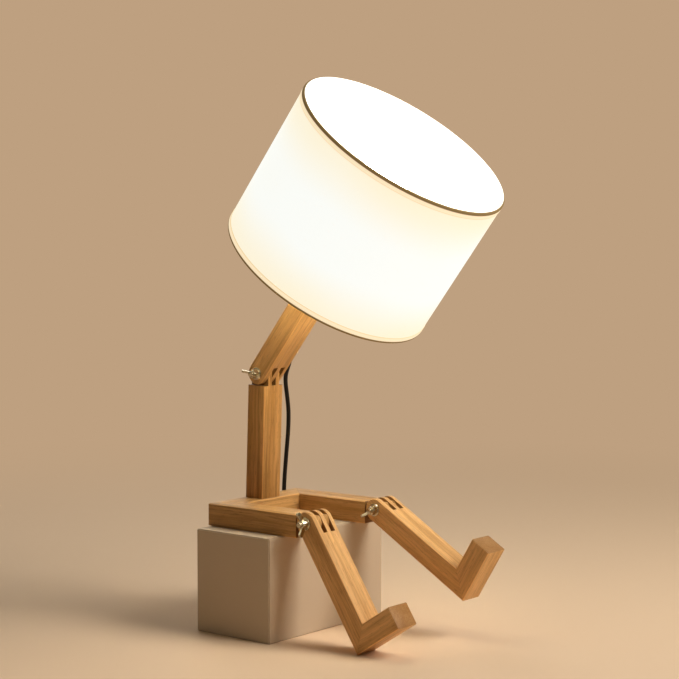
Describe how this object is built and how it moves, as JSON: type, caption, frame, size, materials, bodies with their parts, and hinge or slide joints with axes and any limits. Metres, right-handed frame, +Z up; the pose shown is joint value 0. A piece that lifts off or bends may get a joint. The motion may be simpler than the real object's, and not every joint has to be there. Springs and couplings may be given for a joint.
{
  "type": "robot shaped desk lamp",
  "caption": "Desk lamp shaped like a seated figure: hardwood bars on wing-nut finger hinges, with a fabric drum shade for a head, that sits on a ledge and lets its legs hang.",
  "frame": {"origin": "on the underside of the seat, in the middle of its back bar", "axes": "+X forward, the way the figure looks; +Y the figure's left; +Z up"},
  "size_m": [0.3666, 0.2438, 0.5441],
  "materials": {
    "hardwood": "oiled, satin",
    "plated_steel": "bright nickel plate",
    "white_wire": "white powder coat",
    "black_rubber": "matt",
    "black_cord": "satin black jacket",
    "holder_black": "moulded, satin",
    "insulator": "glazed white",
    "brass": "bright",
    "opal_glass": "opal white",
    "shade_fabric": "cream weave on a lining",
    "shade_binding": "cream tape"
  },
  "bodies": {
    "seat": {"back_bar": "hardwood", "right_arm": "hardwood", "left_arm": "hardwood", "seat_dowels": "hardwood", "torso_post": "hardwood", "torso_screws": "plated_steel", "cord_drop": "black_cord", "cord_coil": "black_cord", "cord_tail": "black_cord", "plug_body": "black_cord", "plug_pins": "brass"},
    "head": {"neck_bar": "hardwood", "neck_bolt": "plated_steel", "neck_washer": "plated_steel", "cable_grommet": "black_rubber", "neck_lead": "black_cord", "holder_nipple": "plated_steel", "holder_cap": "holder_black", "holder_shell": "holder_black", "switch_block": "insulator", "socket_insert": "insulator", "screw_shell": "brass", "centre_contact": "brass", "shade_clamp_ring": "holder_black", "bulb_cap": "plated_steel", "bulb_glass": "opal_glass", "shade_drum": "shade_fabric", "shade_top_ring": "white_wire", "shade_lower_ring": "white_wire", "shade_spokes": "white_wire", "shade_gallery": "white_wire", "lower_binding": "shade_binding", "upper_binding": "shade_binding"},
    "right_shin": {"right_leg": "hardwood", "right_foot": "hardwood", "right_ankle_dowels": "hardwood", "right_knee_bolt": "plated_steel", "right_knee_washer": "plated_steel"},
    "left_shin": {"left_leg": "hardwood", "left_foot": "hardwood", "left_ankle_dowels": "hardwood", "left_knee_bolt": "plated_steel", "left_knee_washer": "plated_steel"},
    "neck_nut": {"neck_wing_nut": "plated_steel"},
    "right_nut": {"right_wing_nut": "plated_steel"},
    "left_nut": {"left_wing_nut": "plated_steel"},
    "switch": {"switch_knob": "holder_black"}
  },
  "joints": [
    {"name": "neck_tilt", "type": "hinge", "parent": "seat", "child": "head", "pos_m": [0.00275, 0, 0.1495], "axis": [0, 1, 0], "range_deg": [-120, 45]},
    {"name": "right_knee", "type": "hinge", "parent": "seat", "child": "right_shin", "pos_m": [0.112, -0.0535, 0.015], "axis": [0, 1, 0], "range_deg": [-57, 33]},
    {"name": "left_knee", "type": "hinge", "parent": "seat", "child": "left_shin", "pos_m": [0.112, 0.0535, 0.015], "axis": [0, 1, 0], "range_deg": [-31, 59]},
    {"name": "neck_nut_turn", "type": "hinge", "parent": "head", "child": "neck_nut", "pos_m": [0.00275, -0.0212, 0.1495], "axis": [0, 1, 0], "continuous": true},
    {"name": "right_nut_turn", "type": "hinge", "parent": "right_shin", "child": "right_nut", "pos_m": [0.112, -0.0747, 0.015], "axis": [0, 1, 0], "continuous": true},
    {"name": "left_nut_turn", "type": "hinge", "parent": "left_shin", "child": "left_nut", "pos_m": [0.112, 0.0323, 0.015], "axis": [0, 1, 0], "continuous": true},
    {"name": "switch_turn", "type": "hinge", "parent": "head", "child": "switch", "pos_m": [0.09387, 0, 0.26613], "axis": [0, -1, 0], "continuous": true}
  ]
}
